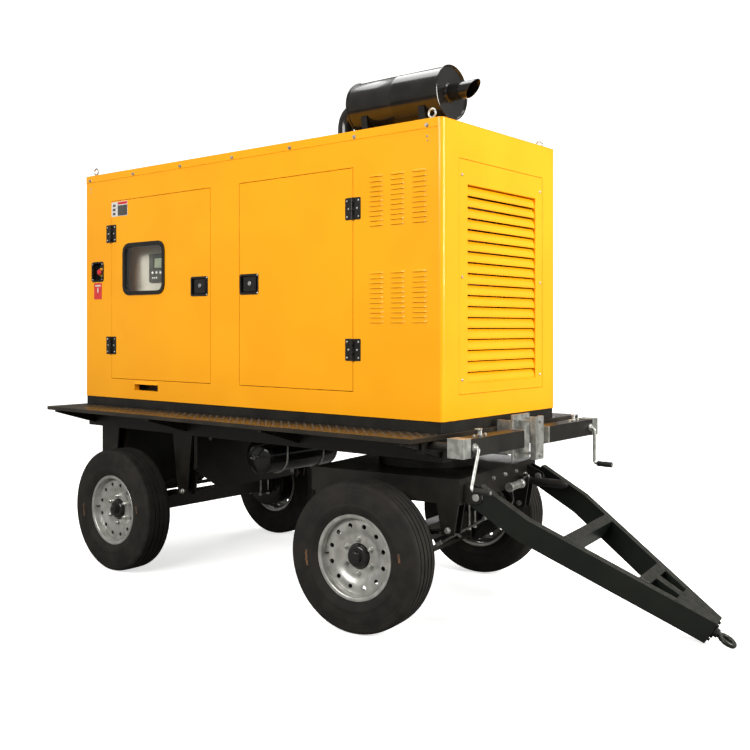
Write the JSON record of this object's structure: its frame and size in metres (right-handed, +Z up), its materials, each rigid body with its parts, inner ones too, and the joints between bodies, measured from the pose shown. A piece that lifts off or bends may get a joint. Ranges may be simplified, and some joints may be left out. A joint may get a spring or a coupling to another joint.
{
  "type": "towable diesel generator",
  "caption": "Silenced diesel generator in a yellow louvred housing on a four-wheel trailer with turntable steering, A-frame drawbar, roof muffler and stowed crank jacks.",
  "frame": {"origin": "on the ground, under the middle of the object's overall length and width", "axes": "+X forward towards the tow eye, +Y to the trailer's left, +Z up"},
  "size_m": [4.2572, 1.7016, 3.041],
  "materials": {
    "yellow_powder_coat": "glossy orange-yellow powder coat",
    "chassis_black": "semi-gloss black chassis paint with road dust",
    "deck_chequer_plate": "black-painted steel chequer plate",
    "drawbar_green_black": "very dark green-black chassis paint",
    "tyre_rubber": "dull charcoal rubber",
    "wheel_silver": "silver wheel lacquer",
    "gloss_black": "high-gloss black enamel",
    "black_rubber": "satin moulded rubber",
    "latch_black": "black powder-coated latch",
    "zinc": "bright zinc plating",
    "red_plastic": "red moulded push button",
    "window_glass": "clear safety glass",
    "panel_beige": "light grey-beige control cabinet paint",
    "engine_green": "dark green engine enamel",
    "alternator_grey": "grey machine enamel",
    "radiator_black": "matt black radiator paint"
  },
  "bodies": {
    "chassis": {"chassis_frame": "chassis_black", "deck_plate": "deck_chequer_plate", "turntable_upper_ring": "chassis_black", "rear_axle": "chassis_black", "rear_spring_left": "chassis_black", "rear_spring_right": "chassis_black", "air_tank": "gloss_black", "jack_bracket": "zinc", "skid_base": "chassis_black", "housing_shell": "yellow_powder_coat", "roof_cap": "yellow_powder_coat", "front_louvre_panel": "yellow_powder_coat", "rear_panel": "yellow_powder_coat", "estop_housing": "gloss_black", "muffler": "gloss_black", "engine": "engine_green", "alternator": "alternator_grey", "radiator": "radiator_black", "fuel_tank": "chassis_black", "battery": "black_rubber", "control_panel": "panel_beige"},
    "turntable": {"bogie_frame": "chassis_black", "turntable_lower_ring": "chassis_black", "front_axle": "chassis_black", "front_spring_left": "chassis_black", "front_spring_right": "chassis_black"},
    "drawbar": {"drawbar_frame": "drawbar_green_black"},
    "tow_ring": {"tow_eye": "drawbar_green_black"},
    "radiator_fan": {"fan": "alternator_grey"},
    "emergency_stop": {"estop_button": "red_plastic"},
    "wheel_front_left": {"tyre_front_left": "tyre_rubber", "rim_front_left": "wheel_silver", "hub_drum_front_left": "gloss_black"},
    "door_leaf_front_left": {"door_front_left": "yellow_powder_coat"},
    "latch_paddle_front_left": {"latch_front_left": "latch_black"},
    "wheel_front_right": {"tyre_front_right": "tyre_rubber", "rim_front_right": "wheel_silver", "hub_drum_front_right": "gloss_black"},
    "door_leaf_front_right": {"door_front_right": "yellow_powder_coat"},
    "latch_paddle_front_right": {"latch_front_right": "latch_black"},
    "wheel_rear_left": {"tyre_rear_left": "tyre_rubber", "rim_rear_left": "wheel_silver", "hub_drum_rear_left": "gloss_black"},
    "door_leaf_rear_left": {"door_rear_left": "yellow_powder_coat"},
    "latch_paddle_rear_left": {"latch_rear_left": "latch_black"},
    "wheel_rear_right": {"tyre_rear_right": "tyre_rubber", "rim_rear_right": "wheel_silver", "hub_drum_rear_right": "gloss_black"},
    "door_leaf_rear_right": {"door_rear_right": "yellow_powder_coat", "window_gasket": "black_rubber", "window_pane": "window_glass"},
    "latch_paddle_rear_right": {"latch_rear_right": "latch_black"},
    "jack_left": {"jack_tube_left": "chassis_black"},
    "jack_inner_leg_left": {"jack_leg_left": "zinc"},
    "jack_handle_left": {"jack_crank_left": "zinc"},
    "jack_right": {"jack_tube_right": "chassis_black"},
    "jack_inner_leg_right": {"jack_leg_right": "zinc"},
    "jack_handle_right": {"jack_crank_right": "zinc"}
  },
  "joints": [
    {"name": "steering", "type": "hinge", "parent": "chassis", "child": "turntable", "pos_m": [0.45144, 0, 0.8275], "axis": [0, 0, 1], "range_deg": [-52.5, 37.5]},
    {"name": "drawbar_pitch", "type": "hinge", "parent": "turntable", "child": "drawbar", "pos_m": [0.96699, 0.06787, 0.69], "axis": [0.1305, -0.9914, 0], "range_deg": [0, 30]},
    {"name": "tow_ring_swivel", "type": "hinge", "parent": "drawbar", "child": "tow_ring", "pos_m": [0.96699, 0.06787, 0.69], "axis": [0.856, 0.1127, -0.5045], "continuous": true},
    {"name": "fan_spin", "type": "hinge", "parent": "chassis", "child": "radiator_fan", "pos_m": [0.45144, 0, 1.62], "axis": [1, 0, 0], "continuous": true},
    {"name": "estop_push", "type": "slide", "parent": "chassis", "child": "emergency_stop", "axis": [0, 1, 0], "range_m": [0, 0.006], "stiffness_N_per_m": 600},
    {"name": "wheel_spin_front_left", "type": "hinge", "parent": "turntable", "child": "wheel_front_left", "pos_m": [0.35746, 0.71384, 0.3875], "axis": [-0.1305, 0.9914, 0], "continuous": true},
    {"name": "wheel_spin_front_right", "type": "hinge", "parent": "turntable", "child": "wheel_front_right", "pos_m": [0.54541, -0.71384, 0.3875], "axis": [-0.1305, 0.9914, 0], "continuous": true},
    {"name": "wheel_spin_rear_left", "type": "hinge", "parent": "chassis", "child": "wheel_rear_left", "pos_m": [-1.46856, 0.72, 0.3875], "axis": [0, 1, 0], "continuous": true},
    {"name": "wheel_spin_rear_right", "type": "hinge", "parent": "chassis", "child": "wheel_rear_right", "pos_m": [-1.46856, -0.72, 0.3875], "axis": [0, 1, 0], "continuous": true},
    {"name": "door_hinge_front_left", "type": "hinge", "parent": "chassis", "child": "door_leaf_front_left", "pos_m": [0.36844, 0.5865, 1.209], "axis": [0, 0, -1], "range_deg": [0, 110]},
    {"name": "door_hinge_front_right", "type": "hinge", "parent": "chassis", "child": "door_leaf_front_right", "pos_m": [0.36844, -0.5865, 1.209], "axis": [0, 0, 1], "range_deg": [0, 110]},
    {"name": "door_hinge_rear_left", "type": "hinge", "parent": "chassis", "child": "door_leaf_rear_left", "pos_m": [-1.78756, 0.5865, 1.209], "axis": [0, 0, 1], "range_deg": [0, 110]},
    {"name": "door_hinge_rear_right", "type": "hinge", "parent": "chassis", "child": "door_leaf_rear_right", "pos_m": [-1.78756, -0.5865, 1.209], "axis": [0, 0, -1], "range_deg": [0, 110]},
    {"name": "latch_lift_front_left", "type": "hinge", "parent": "door_leaf_front_left", "child": "latch_paddle_front_left", "pos_m": [-0.43656, 0.5645, 1.848], "axis": [1, 0, 0], "range_deg": [0, 35], "stiffness_Nm_per_rad": 1.5},
    {"name": "latch_lift_front_right", "type": "hinge", "parent": "door_leaf_front_right", "child": "latch_paddle_front_right", "pos_m": [-0.43656, -0.5645, 1.848], "axis": [-1, 0, 0], "range_deg": [0, 35], "stiffness_Nm_per_rad": 1.5},
    {"name": "latch_lift_rear_left", "type": "hinge", "parent": "door_leaf_rear_left", "child": "latch_paddle_rear_left", "pos_m": [-0.88156, 0.5645, 1.848], "axis": [1, 0, 0], "range_deg": [0, 35], "stiffness_Nm_per_rad": 1.5},
    {"name": "latch_lift_rear_right", "type": "hinge", "parent": "door_leaf_rear_right", "child": "latch_paddle_rear_right", "pos_m": [-0.88156, -0.5645, 1.848], "axis": [-1, 0, 0], "range_deg": [0, 35], "stiffness_Nm_per_rad": 1.5},
    {"name": "jack_swing_left", "type": "hinge", "parent": "chassis", "child": "jack_left", "pos_m": [1.11644, 0.655, 0.975], "axis": [1, 0, 0], "range_deg": [-270, 0]},
    {"name": "jack_extend_left", "type": "slide", "parent": "jack_left", "child": "jack_inner_leg_left", "axis": [0, -1, 0], "range_m": [0, 0.4205]},
    {"name": "jack_wind_left", "type": "hinge", "parent": "jack_left", "child": "jack_handle_left", "pos_m": [1.11644, 0.61, 0.975], "axis": [-1, 0, 0], "range_deg": [0, 1441]},
    {"name": "jack_swing_right", "type": "hinge", "parent": "chassis", "child": "jack_right", "pos_m": [1.11644, -0.655, 0.975], "axis": [1, 0, 0], "range_deg": [0, 270]},
    {"name": "jack_extend_right", "type": "slide", "parent": "jack_right", "child": "jack_inner_leg_right", "axis": [0, 1, 0], "range_m": [0, 0.4205]},
    {"name": "jack_wind_right", "type": "hinge", "parent": "jack_right", "child": "jack_handle_right", "pos_m": [1.11644, -0.61, 0.975], "axis": [1, 0, 0], "range_deg": [0, 1441]}
  ],
  "couplings": [
    {"joint": "jack_extend_left", "follows": "jack_swing_left", "m_per_rad": -0.089127},
    {"joint": "jack_wind_left", "follows": "jack_swing_left", "ratio": -5.3333},
    {"joint": "jack_extend_right", "follows": "jack_swing_right", "m_per_rad": 0.089127},
    {"joint": "jack_wind_right", "follows": "jack_swing_right", "ratio": 5.3333}
  ]
}
